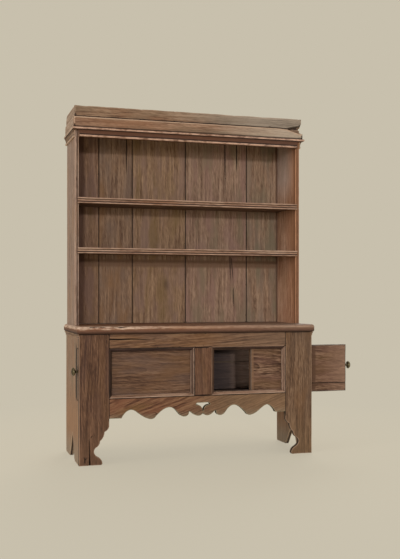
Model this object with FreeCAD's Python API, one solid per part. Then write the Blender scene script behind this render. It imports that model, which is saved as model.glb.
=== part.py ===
import FreeCAD, Part
import math
import os

# A pewter cupboard: a low case on scrolled feet whose two front openings are shut by boards that slide
# out through slots in its ends, and an open set of shelves with a cornice that stands on the case.
# Lengths are millimetres. X runs to the right along the front, Y to the back and Z up. The origin lies on
# the floor under the middle of the case.

V = FreeCAD.Vector

# Driving sizes
case_width = 1400.0
case_depth = 495.0
waist_top = 772.0
total_height = 2030.0
hutch_inset = 5.0
hutch_setback = 178.0
board_thickness = 23.0

# Places that several pieces share
half_width = case_width / 2
front = -case_depth / 2
back = case_depth / 2
hutch_half = half_width - hutch_inset
hutch_front = front + hutch_setback
running_gap = 0.5
fit_gap = 0.1
overrun = 5.0


def block(x0, x1, y0, y1, z0, z1):
    """A square-edged board, from its lowest to its highest place along each axis."""
    return Part.makeBox(x1 - x0, y1 - y0, z1 - z0, V(x0, y0, z0))


def line(a, b):
    return Part.LineSegment(a, b).toShape()


def arc(a, via, b):
    return Part.Arc(a, via, b).toShape()


def smooth(points):
    """One smooth curve through the points."""
    curve = Part.BSplineCurve()
    curve.interpolate(points)
    return curve.toShape()


def polygon(points):
    """The straight edges of a closed outline."""
    return [line(a, b) for a, b in zip(points, points[1:] + points[:1])]


def prism(edges, run):
    """A closed outline pushed along a vector."""
    return Part.Face(Part.Wire(Part.__sortEdges__(edges))).extrude(run)


def dowel(base, direction, radius, length):
    return Part.makeCylinder(radius, length, base, direction)


def mirrored(shape):
    """The right-hand twin of a left-hand piece."""
    return shape.mirror(V(0, 0, 0), V(1, 0, 0))


def save(node, *solids):
    """Writes one node: one solid, or a group of separate ones."""
    shape = solids[0] if len(solids) == 1 else Part.makeCompound(solids)
    shape.exportStep("parts/" + node + ".step")


def save_pair(node, left):
    save(node + "_left", left)
    save(node + "_right", mirrored(left))


os.makedirs("parts", exist_ok=True)

# Levels and widths of the front frame
waist_thickness = 43.0
top_rail_height = 84.0
opening_height = 277.0
skirt_height = 125.0
stile_width = 170.0
muntin_width = 106.0
muntin_offset = 18.0
frame_thickness = 30.0
waist_underside = waist_top - waist_thickness
opening_top = waist_underside - top_rail_height
opening_bottom = opening_top - opening_height
stile_inner = half_width - stile_width
frame_back = front + frame_thickness
muntin_left = muntin_offset - muntin_width / 2
muntin_right = muntin_offset + muntin_width / 2

# Tenons of the frame, and the pegs that lock them
tenon_thickness = 10.0
tenon_length = 40.0
tenon_shoulder = 11.0
muntin_tenon_length = 24.0
peg_radius = 4.0
peg_inset = 20.0
tenon_front = front + (frame_thickness - tenon_thickness) / 2
tenon_back = tenon_front + tenon_thickness
peg_spread_share = 0.2
top_tenon = (opening_top + tenon_shoulder, waist_underside - tenon_shoulder)
skirt_tenon_height = 80.0
skirt_tenon = (opening_bottom - tenon_shoulder - skirt_tenon_height, opening_bottom - tenon_shoulder)


def end_tenon(side, levels, gap):
    """A rail's tenon into the left (-1) or right (1) stile, or with a gap the mortise for it."""
    inner = side * stile_inner
    outer = side * (stile_inner + tenon_length + gap)
    return block(min(inner, outer), max(inner, outer), tenon_front, tenon_back, *levels)


def muntin_tenon(level, direction, gap):
    """The muntin's tenon up (1) or down (-1) from an edge of the opening."""
    reach = level + direction * (muntin_tenon_length + gap)
    return block(muntin_left + tenon_shoulder, muntin_right - tenon_shoulder, tenon_front, tenon_back,
                 min(level, reach), max(level, reach))


def peg_places():
    """Centres of the pegs on the front face: two in each rail's end, one in each end of the muntin."""
    places = []
    for low, high in (top_tenon, skirt_tenon):
        spread = (high - low) * peg_spread_share
        for side in (-1, 1):
            for level in ((low + high) / 2 - spread, (low + high) / 2 + spread):
                places.append((side * (stile_inner + peg_inset), level))
    for level in (opening_top + muntin_tenon_length / 2, opening_bottom - muntin_tenon_length / 2):
        places.append((muntin_offset, level))
    return places


def pegs(radius):
    return [dowel(V(x, front, z), V(0, 1, 0), radius, frame_thickness) for x, z in peg_places()]


peg_holes = Part.makeCompound(pegs(peg_radius + fit_gap))

# Front stiles. The inner edge of each ends in a sawn foot: two scallops, a neck and a swelling toe. The
# table gives arcs as shares of the stile's width, from its outer edge, and of the foot's height.
foot_height = 210.0
foot_start_share = (1.0, 1.0)
foot_arc_shares = (
    ((0.935, 0.919), (0.847, 0.871)),
    ((0.812, 0.748), (0.700, 0.631)),
    ((0.665, 0.533), (0.565, 0.462)),
    ((0.512, 0.410), (0.500, 0.343)),
    ((0.553, 0.267), (0.653, 0.205)),
    ((0.745, 0.133), (0.776, 0.033)),
)
toe_share = (0.741, 0.0)


def front_stile():
    def place(share):
        return V(-half_width + share[0] * stile_width, front, share[1] * foot_height)

    corners = [place(toe_share), V(-half_width, front, 0), V(-half_width, front, waist_underside),
               V(-stile_inner, front, waist_underside), place(foot_start_share)]
    edges = [line(a, b) for a, b in zip(corners, corners[1:])]
    here = foot_start_share
    for via, there in foot_arc_shares:
        edges.append(arc(place(here), place(via), place(there)))
        here = there
    edges.append(line(place(here), place(toe_share)))
    stile = prism(edges, V(0, frame_thickness, 0))
    for levels in (top_tenon, skirt_tenon):
        stile = stile.cut(end_tenon(-1, levels, fit_gap))
    return stile


left_stile = front_stile()
save("front_stile_left", left_stile.cut(peg_holes))
save("front_stile_right", mirrored(left_stile).cut(peg_holes))


# Rails and muntin
def top_rail():
    rail = block(-stile_inner, stile_inner, front, frame_back, opening_top, waist_underside)
    for side in (-1, 1):
        rail = rail.fuse(end_tenon(side, top_tenon, 0))
    return rail.cut(muntin_tenon(opening_top, 1, fit_gap)).cut(peg_holes).removeSplitter()


save("top_rail", top_rail())

# The skirt's lower edge: each half runs from the stile to the middle in three waves with a step and a cusp
# between them. The shares are of the half's length from the middle, and of the skirt's height from its top.
skirt_end_share = (1.0, 0.904)
wave_shares = (
    ((0.872, 0.904), (0.838, 0.690), (0.780, 0.545), (0.690, 0.730), (0.600, 0.960), (0.550, 0.992),
     (0.508, 0.860)),
    ((0.487, 0.775), (0.425, 0.570), (0.357, 0.496), (0.295, 0.650), (0.240, 0.900), (0.198, 0.945),
     (0.166, 0.890), (0.154, 0.730)),
    ((0.136, 0.735), (0.095, 0.880), (0.054, 0.936), (0.018, 0.900), (0.0, 0.816)),
)
# The pierced hole above the two scrolls that meet in the middle, as shares of its half width and of the
# skirt's height from its top
pierce_half_width = 41.0
pierce_flat_share = (0.66, 0.340)
pierce_shoulder_shares = ((0.94, 0.365), (1.0, 0.424))
pierce_side_shares = ((0.30, 0.500), (0.05, 0.704))


def scroll_skirt():
    def half_edges(side):
        length = stile_inner - side * muntin_offset

        def place(share):
            return V(muntin_offset + side * share[0] * length, front,
                     opening_bottom - share[1] * skirt_height)

        runs = [line(V(side * stile_inner, front, opening_bottom), place(skirt_end_share))]
        here = skirt_end_share
        for wave in wave_shares:
            runs.append(line(place(here), place(wave[0])))
            runs.append(smooth([place(share) for share in wave]))
            here = wave[-1]
        return runs

    top = line(V(-stile_inner, front, opening_bottom), V(stile_inner, front, opening_bottom))
    skirt = prism([top] + half_edges(-1) + half_edges(1), V(0, frame_thickness, 0))

    def place(side, share):
        return V(muntin_offset + side * share[0] * pierce_half_width, front,
                 opening_bottom - share[1] * skirt_height)

    pierce = [line(place(-1, pierce_flat_share), place(1, pierce_flat_share)),
              line(place(-1, pierce_side_shares[1]), place(1, pierce_side_shares[1]))]
    for side in (-1, 1):
        flat, shoulder_via, shoulder = (place(side, s) for s in (pierce_flat_share,) + pierce_shoulder_shares)
        side_via, tip = (place(side, s) for s in pierce_side_shares)
        pierce += [arc(flat, shoulder_via, shoulder), arc(shoulder, side_via, tip)]
    skirt = skirt.cut(prism(pierce, V(0, frame_thickness, 0)))
    for side in (-1, 1):
        skirt = skirt.fuse(end_tenon(side, skirt_tenon, 0))
    return skirt.cut(muntin_tenon(opening_bottom, -1, fit_gap)).cut(peg_holes).removeSplitter()


save("scroll_skirt", scroll_skirt())


def centre_muntin():
    muntin = block(muntin_left, muntin_right, front, frame_back, opening_bottom, opening_top)
    muntin = muntin.fuse(muntin_tenon(opening_top, 1, 0)).fuse(muntin_tenon(opening_bottom, -1, 0))
    return muntin.cut(peg_holes).removeSplitter()


save("centre_muntin", centre_muntin())
save("frame_pegs", *pegs(peg_radius))

# Moulding strips planted round each opening: a small flat, then a hollow that falls back to the sight edge
strip_width = 17.0
strip_depth = 27.0
strip_quirk = 1.5
strip_flat = 3.0
strip_fall = 11.0
strip_hollow_share = 0.35


def opening_moulding(x0, x1):
    def strip(corner, along, inward, length):
        """One mitred strip: along its length, and inward to the opening."""
        def place(across, deep):
            return corner + inward * across + V(0, deep, 0)

        fall_start = place(strip_flat, strip_quirk)
        fall_end = place(strip_width, strip_quirk + strip_fall)
        fall_via = place((strip_flat + strip_width) / 2, strip_quirk + strip_fall * strip_hollow_share)
        edges = [line(place(0, strip_quirk), fall_start), arc(fall_start, fall_via, fall_end),
                 line(fall_end, place(strip_width, strip_depth)),
                 line(place(strip_width, strip_depth), place(0, strip_depth)),
                 line(place(0, strip_depth), place(0, strip_quirk))]
        body = prism(edges, along * length)
        mitre = prism(polygon([corner, corner + inward * length, corner + (inward + along) * length]),
                      V(0, strip_depth + overrun, 0))
        far = corner + along * length
        far_mitre = prism(polygon([far, far + inward * length, far + (inward - along) * length]),
                          V(0, strip_depth + overrun, 0))
        return body.cut(mitre).cut(far_mitre)

    right, up = V(1, 0, 0), V(0, 0, 1)
    low_left = V(x0, front, opening_bottom)
    high_left = V(x0, front, opening_top)
    low_right = V(x1, front, opening_bottom)
    width, height = x1 - x0, opening_top - opening_bottom
    return (strip(low_left, right, up, width), strip(high_left, right, -up, width),
            strip(low_left, up, right, height), strip(low_right, up, -right, height))


save("opening_moulding_left", *opening_moulding(-stile_inner, muntin_left))
save("opening_moulding_right", *opening_moulding(muntin_right, stile_inner))

# The groove for the sliding boards, behind the frame
slide_thickness = 34.0
groove_drop = 6.0
groove_rise = 1.0
groove_floor = opening_bottom - groove_drop
groove_roof = opening_top + groove_rise
groove_back = frame_back + slide_thickness + 2 * running_gap

# End boards. The notch in the lower edge is a V with a front foot and a back foot beside it.
side_thickness = 25.0
side_inner = half_width - side_thickness
notch_height = 147.0
notch_peak_half = 6.0
notch_front_share = 0.333
notch_back_share = 0.707
notch_peak_share = 0.485


def side_board():
    board = block(-half_width, -side_inner, frame_back, back, 0, waist_underside)
    peak = front + notch_peak_share * case_depth
    notch = [V(-half_width, front + notch_front_share * case_depth, 0),
             V(-half_width, peak - notch_peak_half, notch_height),
             V(-half_width, peak + notch_peak_half, notch_height),
             V(-half_width, front + notch_back_share * case_depth, 0)]
    board = board.cut(prism(polygon(notch), V(side_thickness, 0, 0)))
    slot = block(-half_width, -side_inner, frame_back, groove_back, groove_floor, groove_roof)
    return board.cut(slot)


save_pair("side_board", side_board())

# Runners. Each has a ledge that the boards' edges run on or under, and a fence behind them.
ledge_thickness = 14.0
fence_height = 23.0
fence_thickness = 25.0
fence_back = groove_back + fence_thickness


def runner(ledge, direction):
    """A rebated batten along the whole case, with its ledge below (1) or above (-1) the boards."""
    section = [(frame_back, -ledge_thickness), (fence_back, -ledge_thickness), (fence_back, fence_height),
               (groove_back, fence_height), (groove_back, 0), (frame_back, 0)]
    points = [V(-side_inner, y, ledge + direction * z) for y, z in section]
    return prism(polygon(points), V(2 * side_inner, 0, 0))


save("lower_runner", runner(groove_floor, 1))
save("upper_runner", runner(groove_roof, -1))

# The centre post fills the groove behind the muntin, just out of sight, and both boards close against it
post_cover = 9.0
post_left = muntin_left - post_cover
post_right = muntin_right + post_cover
save("centre_post", block(post_left, post_right, frame_back, groove_back, groove_floor, groove_roof))

# Sliding boards with a turned knob in the outer end and a stop peg in the back. The left one is shut and
# the right one is drawn out; its end is flush with the end board when shut.
right_pull = 240.0
stop_peg_radius = 6.0
stop_peg_inset = 110.0
stop_peg_reach = 14.0
stop_peg_depth = 20.0
stop_peg_rise_share = 0.5
knob_rise_share = 0.553
knob_spindle_radius = 7.0
knob_spindle_length = 25.0
knob_stem_radius = 9.0
knob_stem_length = 16.0
knob_neck_share = 0.8
knob_head_radius = 23.0
knob_head_length = 20.0
knob_rim_share = 0.4
slide_front = frame_back + running_gap
slide_back = slide_front + slide_thickness
slide_bottom = groove_floor + running_gap
slide_top = groove_roof - running_gap
slide_height = slide_top - slide_bottom
slide_middle = (slide_front + slide_back) / 2


def sliding_board(side, inner, shift):
    """The board, knob and stop peg of the left (-1) or right (1) side; inner is its shut inner end."""
    out = V(side, 0, 0)
    ends = sorted((inner, side * half_width))
    board = block(ends[0], ends[1], slide_front, slide_back, slide_bottom, slide_top)

    centre = V(side * half_width, slide_middle, slide_bottom + slide_height * knob_rise_share)
    board = board.cut(dowel(centre, -out, knob_spindle_radius + fit_gap, knob_spindle_length + fit_gap))

    def place(reach, radius):
        return centre + out * reach + V(0, 0, radius)

    neck = knob_stem_radius * knob_neck_share
    rim_reach = knob_stem_length + knob_head_length * knob_rim_share
    tip_reach = knob_stem_length + knob_head_length
    dome_height = tip_reach - rim_reach
    dome_radius = (dome_height ** 2 + knob_head_radius ** 2) / (2 * dome_height)
    half_turn = math.asin(knob_head_radius / dome_radius) / 2
    dome_via = place(tip_reach - dome_radius * (1 - math.cos(half_turn)), dome_radius * math.sin(half_turn))
    corners = [place(-knob_spindle_length, 0), place(-knob_spindle_length, knob_spindle_radius),
               place(0, knob_spindle_radius), place(0, knob_stem_radius), place(knob_stem_length / 2, neck),
               place(knob_stem_length, knob_stem_radius), place(rim_reach, knob_head_radius)]
    section = [line(a, b) for a, b in zip(corners, corners[1:])]
    section.append(arc(corners[-1], dome_via, place(tip_reach, 0)))
    section.append(line(place(tip_reach, 0), corners[0]))
    knob = Part.Face(Part.Wire(section)).revolve(centre, out, 360)

    peg_start = V(inner + side * stop_peg_inset, slide_back - stop_peg_depth,
                  slide_bottom + slide_height * stop_peg_rise_share)
    peg = dowel(peg_start, V(0, 1, 0), stop_peg_radius, stop_peg_depth + stop_peg_reach)
    board = board.cut(dowel(peg_start - V(0, fit_gap, 0), V(0, 1, 0), stop_peg_radius + fit_gap,
                            stop_peg_depth + overrun))
    for piece in (board, knob, peg):
        piece.translate(out * shift)
    return board, knob, peg


for name, pieces in (("left", sliding_board(-1, post_left - running_gap, 0)),
                     ("right", sliding_board(1, post_right + running_gap, right_pull))):
    for node, piece in zip(("sliding_board", "knob", "stop_peg"), pieces):
        save(node + "_" + name, piece)

# Travel of each board between the centre post and the stop peg's meeting with the end board
for name, shut, drawn in (("left", -post_left, 0), ("right", post_right, right_pull)):
    travel = side_inner - (shut + 2 * running_gap + stop_peg_inset + stop_peg_radius)
    print(name, "board slides from", -drawn, "to", travel - drawn)

# Floor of the cupboard on two cleats, and the boards that close its back
floor_thickness = 20.0
cleat_width = 25.0
cleat_height = 30.0
cleat_inset = 40.0
case_back_thickness = 20.0
case_back_drop = 38.0
case_back_front = back - case_back_thickness
floor_top = groove_floor - ledge_thickness
floor_underside = floor_top - floor_thickness
save("cupboard_floor", block(-side_inner, side_inner, frame_back, case_back_front, floor_underside,
                             floor_top))
save_pair("floor_cleat", block(-side_inner, -side_inner + cleat_width, frame_back + cleat_inset,
                               case_back_front - cleat_inset, floor_underside - cleat_height,
                               floor_underside))
case_back_bottom = floor_top - case_back_drop
case_back_seam = (case_back_bottom + waist_underside) / 2
for name, low, high in (("lower", case_back_bottom, case_back_seam),
                        ("upper", case_back_seam, waist_underside)):
    save("case_back_" + name, block(-side_inner, side_inner, case_back_front, back, low, high))

# Waist board with a round nose on the front and both ends, and a cove strip under each end
waist_overhang_end = 14.0
waist_overhang_front = 25.0
waist_corner_radius = 20.0
nose_top_radius = 17.0
nose_bottom_radius = 9.0
cove_height = 24.0
cove_width = 11.0
cove_fillet = 3.0
cove_curve_share = 0.35
dowel_radius = 6.0
dowel_reach = 20.0
dowel_inset = 60.0
hutch_back = back


def hutch_dowels(radius, reach):
    """The dowels that locate the upper part, two under each of its sides."""
    x = hutch_half - board_thickness / 2
    return [dowel(V(side * x, y, waist_top - reach), V(0, 0, 1), radius, 2 * reach)
            for side in (-1, 1) for y in (hutch_front + dowel_inset, hutch_back - dowel_inset)]


dowel_holes = Part.makeCompound(hutch_dowels(dowel_radius + fit_gap, dowel_reach + fit_gap))


def waist_board():
    end = half_width + waist_overhang_end
    board = block(-end, end, front - waist_overhang_front, back, waist_underside, waist_top)
    upright = [e for e in board.Edges if abs(e.BoundBox.ZLength - waist_thickness) < fit_gap
               and e.BoundBox.YMax < 0]
    board = board.makeFillet(waist_corner_radius, upright)
    for level, radius in ((waist_top, nose_top_radius), (waist_underside, nose_bottom_radius)):
        rim = [e for e in board.Edges if abs(e.BoundBox.ZMin - level) < fit_gap
               and abs(e.BoundBox.ZMax - level) < fit_gap and e.BoundBox.YMin < back - fit_gap]
        board = board.makeFillet(radius, rim)
    return board.cut(dowel_holes)


save("waist_board", waist_board())
save("hutch_dowels", *hutch_dowels(dowel_radius, dowel_reach))


def waist_cove():
    def place(out, down):
        return V(-half_width - out, front, waist_underside - down)

    edges = [line(place(0, 0), place(cove_width, 0)),
             line(place(cove_width, 0), place(cove_width, cove_fillet)),
             arc(place(cove_width, cove_fillet), place(cove_width * cove_curve_share, cove_height / 2),
                 place(cove_fillet, cove_height)),
             line(place(cove_fillet, cove_height), place(0, cove_height)),
             line(place(0, cove_height), place(0, 0))]
    return prism(edges, V(0, case_depth, 0))


save_pair("waist_cove", waist_cove())

# Levels of the upper part
fascia_upper_height = 64.0
fascia_lower_height = 61.0
bed_height = 53.0
shelf_thickness = 24.0
housing = 5.0
hutch_back_thickness = 16.0
hutch_inner = hutch_half - board_thickness
band_seam = total_height - fascia_upper_height
band_bottom = band_seam - fascia_lower_height
hutch_back_front = hutch_back - hutch_back_thickness
shelf_half = hutch_inner + housing
top_board = (band_seam - board_thickness, band_seam)
lower_shelf_share = 0.375
upper_shelf_share = 0.6165
shelves = {}
for name, rise_share in (("lower", lower_shelf_share), ("upper", upper_shelf_share)):
    shelf_top = waist_top + rise_share * (band_seam - waist_top)
    shelves[name] = (shelf_top - shelf_thickness, shelf_top)

# Sides of the upper part. Two beads are worked on the front edge, the shelves are housed in the inner face,
# the back edge is rebated for the back boards, and the top board lies over the ends.
bead_width = 8.5
bead_depth = 4.0
bead_count = 2


def hutch_side():
    flat = board_thickness - bead_count * bead_width
    x = -hutch_half + flat
    base = hutch_front + bead_depth
    edges = [line(V(-hutch_half, hutch_front, 0), V(x, hutch_front, 0)),
             line(V(x, hutch_front, 0), V(x, base, 0))]
    for bead in range(bead_count):
        end = x + bead_width
        edges.append(arc(V(x, base, 0), V((x + end) / 2, hutch_front, 0), V(end, base, 0)))
        x = end
    edges += [line(V(-hutch_inner, base, 0), V(-hutch_inner, hutch_back, 0)),
              line(V(-hutch_inner, hutch_back, 0), V(-hutch_half, hutch_back, 0)),
              line(V(-hutch_half, hutch_back, 0), V(-hutch_half, hutch_front, 0))]
    side = prism(edges, V(0, 0, top_board[0] - waist_top))
    side.translate(V(0, 0, waist_top))
    for low, high in shelves.values():
        side = side.cut(block(-shelf_half, -hutch_inner, hutch_front, hutch_back, low, high))
    side = side.cut(block(-shelf_half, -hutch_inner, hutch_back_front, hutch_back, waist_top, top_board[0]))
    return side.cut(dowel_holes)


save_pair("hutch_side", hutch_side())

# Nails of the back boards: a flat head outside and a shank through the board into each shelf
nail_head_radius = 5.0
nail_head_height = 2.0
nail_shank_radius = 1.5
nail_shank_length = 38.0
nail_inset = 30.0
seam_gap = 1.6
board_lap = 8.0
seam_shares = (-0.743, -0.434, 0.071, 0.676)
board_ends = (-shelf_half, *(share * shelf_half for share in seam_shares), shelf_half)
nail_levels = [(low + high) / 2 for low, high in (*shelves.values(), top_board)]


def nail_places():
    return [(x, level) for level in nail_levels for left, right in zip(board_ends, board_ends[1:])
            for x in (left + nail_inset, right - nail_inset)]


def nail(x, level):
    head = dowel(V(x, hutch_back, level), V(0, 1, 0), nail_head_radius, nail_head_height)
    shank = dowel(V(x, hutch_back, level), V(0, -1, 0), nail_shank_radius, nail_shank_length)
    return head.fuse(shank)


nail_holes = Part.makeCompound([dowel(V(x, hutch_back, level), V(0, -1, 0), nail_shank_radius + fit_gap,
                                      nail_shank_length + fit_gap) for x, level in nail_places()])
save("back_nails", *(nail(x, level) for x, level in nail_places()))

for name, (low, high) in shelves.items():
    shelf = block(-shelf_half, shelf_half, hutch_front + bead_depth, hutch_back_front, low, high)
    save("shelf_" + name, shelf.cut(nail_holes))
top_piece = block(-hutch_half, hutch_half, hutch_front, hutch_back, *top_board)
top_piece = top_piece.cut(block(-shelf_half, shelf_half, hutch_back_front, hutch_back, *top_board))
save("hutch_top", top_piece.cut(nail_holes))

# Back boards: each laps over its neighbour with the back half of its thickness
lap_start = hutch_back_front + hutch_back_thickness / 2
for index, (left, right) in enumerate(zip(board_ends, board_ends[1:])):
    first, last = index == 0, index == len(seam_shares)
    face = block(left if first else left + seam_gap / 2, right if last else right - seam_gap / 2,
                 hutch_back_front, lap_start, waist_top, band_seam)
    rear = block(left if first else left + board_lap, right if last else right + board_lap,
                 lap_start, hutch_back, waist_top, band_seam)
    save("hutch_back_board_" + str(index + 1), face.fuse(rear).removeSplitter().cut(nail_holes))

# Beaded strips on the shelves' front edges: two beads with a hollow between them
strip_height = 34.0
shelf_strip_depth = 12.0
shelf_strip_lap = 8.0
strip_bead_share = 0.26
strip_hollow_depth = 4.0


def shelf_strip(shelf_top):
    bead = strip_height * strip_bead_share
    outer = hutch_front - shelf_strip_depth
    shoulder = outer + bead / 2
    half = hutch_inner + shelf_strip_lap

    def place(y, down):
        return V(-half, y, shelf_top - down)

    lower = strip_height - bead
    edges = [line(place(hutch_front, 0), place(shoulder, 0)),
             arc(place(shoulder, 0), place(outer, bead / 2), place(shoulder, bead)),
             arc(place(shoulder, bead), place(shoulder + strip_hollow_depth, strip_height / 2),
                 place(shoulder, lower)),
             arc(place(shoulder, lower), place(outer, strip_height - bead / 2),
                 place(shoulder, strip_height)),
             line(place(shoulder, strip_height), place(hutch_front, strip_height)),
             line(place(hutch_front, strip_height), place(hutch_front, 0))]
    face = prism(edges, V(2 * half, 0, 0))
    inner = hutch_inner - fit_gap
    tongue = block(-inner, inner, hutch_front, hutch_front + bead_depth, shelf_top - shelf_thickness,
                   shelf_top)
    return face.fuse(tongue).removeSplitter()


for name, (low, high) in shelves.items():
    save("shelf_strip_" + name, shelf_strip(high))

# Bed mould under the cornice: an upper bead, a hollow and a lower bead within the depth of the returns
bed_front_projection = 40.0
bed_end_projection = 20.0
bed_bead_height = 12.0
bed_bead_depth = 4.0
bed_hollow_depth = 6.0
bed_lower_set = 9.0
bed_bottom = band_bottom - bed_height


def bed_section(place, depth):
    """The section's edges; place turns a depth behind the outer face and a drop below the top to a point."""
    lower = bed_height - bed_bead_height
    hollow_top = place(bed_bead_depth, bed_bead_height)
    hollow_bottom = place(bed_lower_set + bed_bead_depth, lower)
    hollow_via = place(bed_lower_set + bed_hollow_depth, (bed_bead_height + lower) / 2)
    return [line(place(depth, 0), place(bed_bead_depth, 0)),
            arc(place(bed_bead_depth, 0), place(0, bed_bead_height / 2), hollow_top),
            arc(hollow_top, hollow_via, hollow_bottom),
            arc(hollow_bottom, place(bed_lower_set, lower + bed_bead_height / 2),
                place(bed_lower_set + bed_bead_depth, bed_height)),
            line(place(bed_lower_set + bed_bead_depth, bed_height), place(depth, bed_height)),
            line(place(depth, bed_height), place(depth, 0))]


def bed_mould():
    outer_x = hutch_half + bed_end_projection
    outer_y = hutch_front - bed_front_projection
    mitre_y = outer_y + bed_end_projection
    front_piece = prism(bed_section(lambda deep, down: V(-outer_x, outer_y + deep, band_bottom - down),
                                    bed_front_projection), V(2 * outer_x, 0, 0))
    left = prism(bed_section(lambda deep, down: V(-outer_x + deep, outer_y, band_bottom - down),
                             bed_end_projection), V(0, hutch_back - outer_y, 0))
    past = hutch_front + overrun
    drop = V(0, 0, bed_height)
    behind_mitre = prism(polygon([V(-outer_x, outer_y, bed_bottom), V(-hutch_half, mitre_y, bed_bottom),
                                  V(-hutch_half, past, bed_bottom), V(-outer_x, past, bed_bottom)]), drop)
    before_mitre = prism(polygon([V(-outer_x, outer_y, bed_bottom), V(-hutch_half, outer_y, bed_bottom),
                                  V(-hutch_half, mitre_y, bed_bottom)]), drop)
    front_piece = front_piece.cut(behind_mitre).cut(mirrored(behind_mitre))
    return front_piece, left.cut(before_mitre)


bed_front, bed_left = bed_mould()
save("bed_mould_front", bed_front)
save_pair("bed_mould", bed_left)

# Cornice: a lower band planted on the upper part's front and sides, and an upper band that stands on its
# top board, each a front with two returns behind its ends. The bands have parted at the right end, where a
# wedge of both is worn away.
upper_front_projection = 23.0
upper_end_projection = 5.0
lower_front_projection = 30.0
lower_end_projection = 11.0
upper_return_thickness = 23.0
return_corner_radius = 45.0
wedge_length = 100.0
wedge_rise = 13.0
wedge_drop = 16.0
wedge_run_back = 22.0
block_width = 40.0
block_height = 45.0


def worn_wedge():
    tip = hutch_half + upper_end_projection - wedge_length
    past = hutch_half + lower_end_projection + overrun
    start = hutch_front - lower_front_projection - overrun
    points = [V(tip, start, band_seam), V(past, start, band_seam - wedge_drop),
              V(past, start, band_seam + wedge_rise)]
    return prism(polygon(points), V(0, hutch_front + wedge_run_back - start, 0))


def band(node, low, high, front_projection, end_projection, return_inner, rounded):
    end = hutch_half + end_projection
    face = block(-end, end, hutch_front - front_projection, hutch_front, low, high)
    save("cornice_" + node, face.cut(worn_wedge()))
    piece = block(-end, -return_inner, hutch_front, hutch_back, low, high)
    if rounded:
        corner = [e for e in piece.Edges if abs(e.BoundBox.ZMin - high) < fit_gap
                  and abs(e.BoundBox.YMin - hutch_back) < fit_gap]
        piece = piece.makeFillet(return_corner_radius, corner)
    save("cornice_" + node + "_return_left", piece)
    save("cornice_" + node + "_return_right", mirrored(piece).cut(worn_wedge()))


upper_inner = hutch_half + upper_end_projection - upper_return_thickness
band("lower", band_bottom, band_seam, lower_front_projection, lower_end_projection, hutch_half, False)
band("upper", band_seam, total_height, upper_front_projection, upper_end_projection, upper_inner, True)

corner_blocks = [block(-upper_inner, -upper_inner + block_width, y, y + block_width, band_seam,
                       band_seam + block_height) for y in (hutch_front, hutch_back - block_width)]
save("corner_blocks", *corner_blocks, *(mirrored(piece) for piece in corner_blocks))
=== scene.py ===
import math

import bmesh
import bpy
import numpy as np
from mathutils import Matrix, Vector, geometry, noise


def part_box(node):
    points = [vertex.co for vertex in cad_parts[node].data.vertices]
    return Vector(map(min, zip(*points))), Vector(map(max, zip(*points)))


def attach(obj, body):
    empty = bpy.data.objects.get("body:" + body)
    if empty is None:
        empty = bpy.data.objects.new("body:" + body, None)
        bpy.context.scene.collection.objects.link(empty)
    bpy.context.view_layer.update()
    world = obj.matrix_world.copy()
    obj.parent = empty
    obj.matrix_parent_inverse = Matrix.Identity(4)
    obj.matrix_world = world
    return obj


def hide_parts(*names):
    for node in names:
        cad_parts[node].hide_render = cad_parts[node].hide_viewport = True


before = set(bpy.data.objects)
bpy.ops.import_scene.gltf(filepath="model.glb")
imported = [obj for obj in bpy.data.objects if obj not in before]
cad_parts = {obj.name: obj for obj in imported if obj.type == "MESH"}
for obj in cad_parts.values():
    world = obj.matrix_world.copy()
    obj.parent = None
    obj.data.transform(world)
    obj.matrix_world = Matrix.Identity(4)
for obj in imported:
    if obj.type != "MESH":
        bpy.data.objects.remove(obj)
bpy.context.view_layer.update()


# The ground that the cupboard stands on: a plain pale floor that runs on into an even pale background of
# the same colour. Near the feet the floor is real and takes the shadow.
ground_colour = (200, 192, 173)
floor_colour = (232, 223, 202)
sky_colour = (244, 240, 232)
sky_strength = 0.69
ground_reach = 30.0
shadow_reach = (0.9, 2.6)
shadow_share = 0.28


def paint(red, green, blue):
    """A colour as it is seen, 0 to 255, turned to the linear values that a shader takes."""
    shares = [c / 255 for c in (red, green, blue)]
    return [s / 12.92 if s <= 0.04045 else ((s + 0.055) / 1.055) ** 2.4 for s in shares] + [1.0]


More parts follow.
